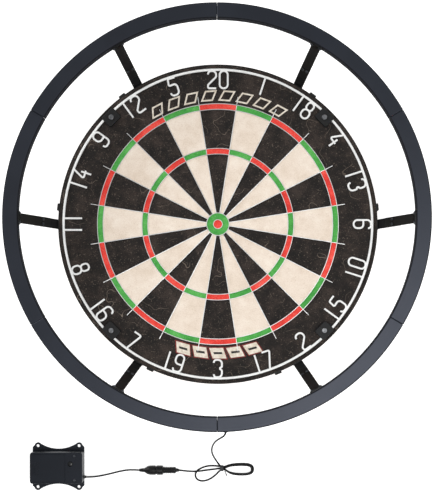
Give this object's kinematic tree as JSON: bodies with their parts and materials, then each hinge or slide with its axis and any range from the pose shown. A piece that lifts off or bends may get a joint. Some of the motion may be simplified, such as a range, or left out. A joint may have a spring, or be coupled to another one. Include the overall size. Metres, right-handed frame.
{
  "type": "bristle dartboard with lighting ring",
  "caption": "Round bristle dartboard with wire numbers, a dark lighting ring carried in front of it on slanted arms, and a small battery pack on a lead.",
  "frame": {"origin": "on the board's axis, at the back of the wall bracket; z = 0 is the wall plane, which the pads, leads and battery pack also rest on", "axes": "+Z out of the board's face, +Y towards the 20, +X to the right of a player"},
  "size_m": [0.57, 0.6684, 0.13],
  "materials": {
    "black_sisal": "compressed sisal, dyed black",
    "cream_sisal": "compressed sisal, natural cream",
    "red_sisal": "compressed sisal, dyed red",
    "green_sisal": "compressed sisal, dyed green",
    "chipboard": "raw chipboard",
    "rim_steel": "black enamelled steel band",
    "spider_steel": "galvanised steel wire",
    "number_enamel": "white enamelled steel wire",
    "clip_plastic": "moulded",
    "screw_zinc": "zinc plated",
    "pad_rubber": "moulded",
    "hanger_zinc": "zinc plated pressed steel",
    "ring_plastic": "satin moulded",
    "diffuser_acrylic": "opal acrylic",
    "led_tape": "flexible printed strip",
    "joiner_plastic": "moulded",
    "gland_rubber": "moulded",
    "arm_steel": "black powder coat",
    "arm_plastic": "satin moulded",
    "black_screw": "black oxide",
    "lead_pvc": "PVC sheath",
    "tie_paper": "plastic covered wire",
    "connector_pvc": "over-moulded PVC",
    "contact_nickel": "nickel plated",
    "pack_abs": "satin moulded ABS",
    "button_rubber": "moulded",
    "circuit_laminate": "printed laminate",
    "cell_can": "printed wrap"
  },
  "bodies": {
    "dartboard": {"backing_board": "chipboard", "sisal_bed": "black_sisal", "dyed_cream": "cream_sisal", "dyed_red": "red_sisal", "dyed_green": "green_sisal", "rim_band": "rim_steel", "spider_grid": "spider_steel", "bull_rings": "spider_steel", "number_hoop": "number_enamel", "number_digits": "number_enamel", "number_clips": "clip_plastic", "number_clip_screws": "screw_zinc", "wall_pads": "pad_rubber", "hanger_screw": "hanger_zinc", "ring_segment_1": "ring_plastic", "ring_segment_2": "ring_plastic", "ring_segment_3": "ring_plastic", "ring_segment_4": "ring_plastic", "ring_segment_5": "ring_plastic", "ring_segment_6": "ring_plastic", "ring_diffusers": "diffuser_acrylic", "led_strips": "led_tape", "ring_joiners": "joiner_plastic", "ring_gland": "gland_rubber", "arm_bracket_1": "arm_steel", "arm_bracket_2": "arm_steel", "arm_bracket_3": "arm_steel", "arm_bracket_4": "arm_steel", "arm_bracket_5": "arm_steel", "arm_bracket_6": "arm_steel", "arm_strut_1": "arm_plastic", "arm_strut_2": "arm_plastic", "arm_strut_3": "arm_plastic", "arm_strut_4": "arm_plastic", "arm_strut_5": "arm_plastic", "arm_strut_6": "arm_plastic", "arm_screws": "black_screw", "foot_screws": "black_screw", "rim_lugs": "pad_rubber", "ring_lead": "lead_pvc", "lead_hank": "lead_pvc", "lead_loop": "lead_pvc", "lead_tail": "lead_pvc", "hank_tie": "tie_paper", "plug_shell": "connector_pvc", "plug_barrel": "contact_nickel"},
    "wall_bracket": {"wall_bracket": "hanger_zinc"},
    "battery_pack": {"socket_shell": "connector_pvc", "socket_contact": "contact_nickel", "pack_lead": "lead_pvc", "pack_gland": "gland_rubber", "pack_base": "pack_abs", "pack_housing": "pack_abs", "circuit_board": "circuit_laminate", "battery_cells": "cell_can", "contact_springs": "contact_nickel", "contact_plates": "contact_nickel", "pack_screws": "black_screw"},
    "battery_cover": {"pack_cover": "pack_abs"},
    "power_button": {"power_button": "button_rubber"}
  },
  "joints": [
    {"name": "bracket_lift", "type": "slide", "parent": "dartboard", "child": "wall_bracket", "axis": [0, -1, 0], "range_m": [0, 0.034]},
    {"name": "connector_pull", "type": "slide", "parent": "dartboard", "child": "battery_pack", "axis": [-1, 0, 0], "range_m": [0, 0.014]},
    {"name": "cover_slide", "type": "slide", "parent": "battery_pack", "child": "battery_cover", "axis": [-1, 0, 0], "range_m": [0, 0.052]},
    {"name": "button_press", "type": "slide", "parent": "battery_pack", "child": "power_button", "axis": [0, 0, -1], "range_m": [0, 0.001], "stiffness_N_per_m": 500}
  ]
}
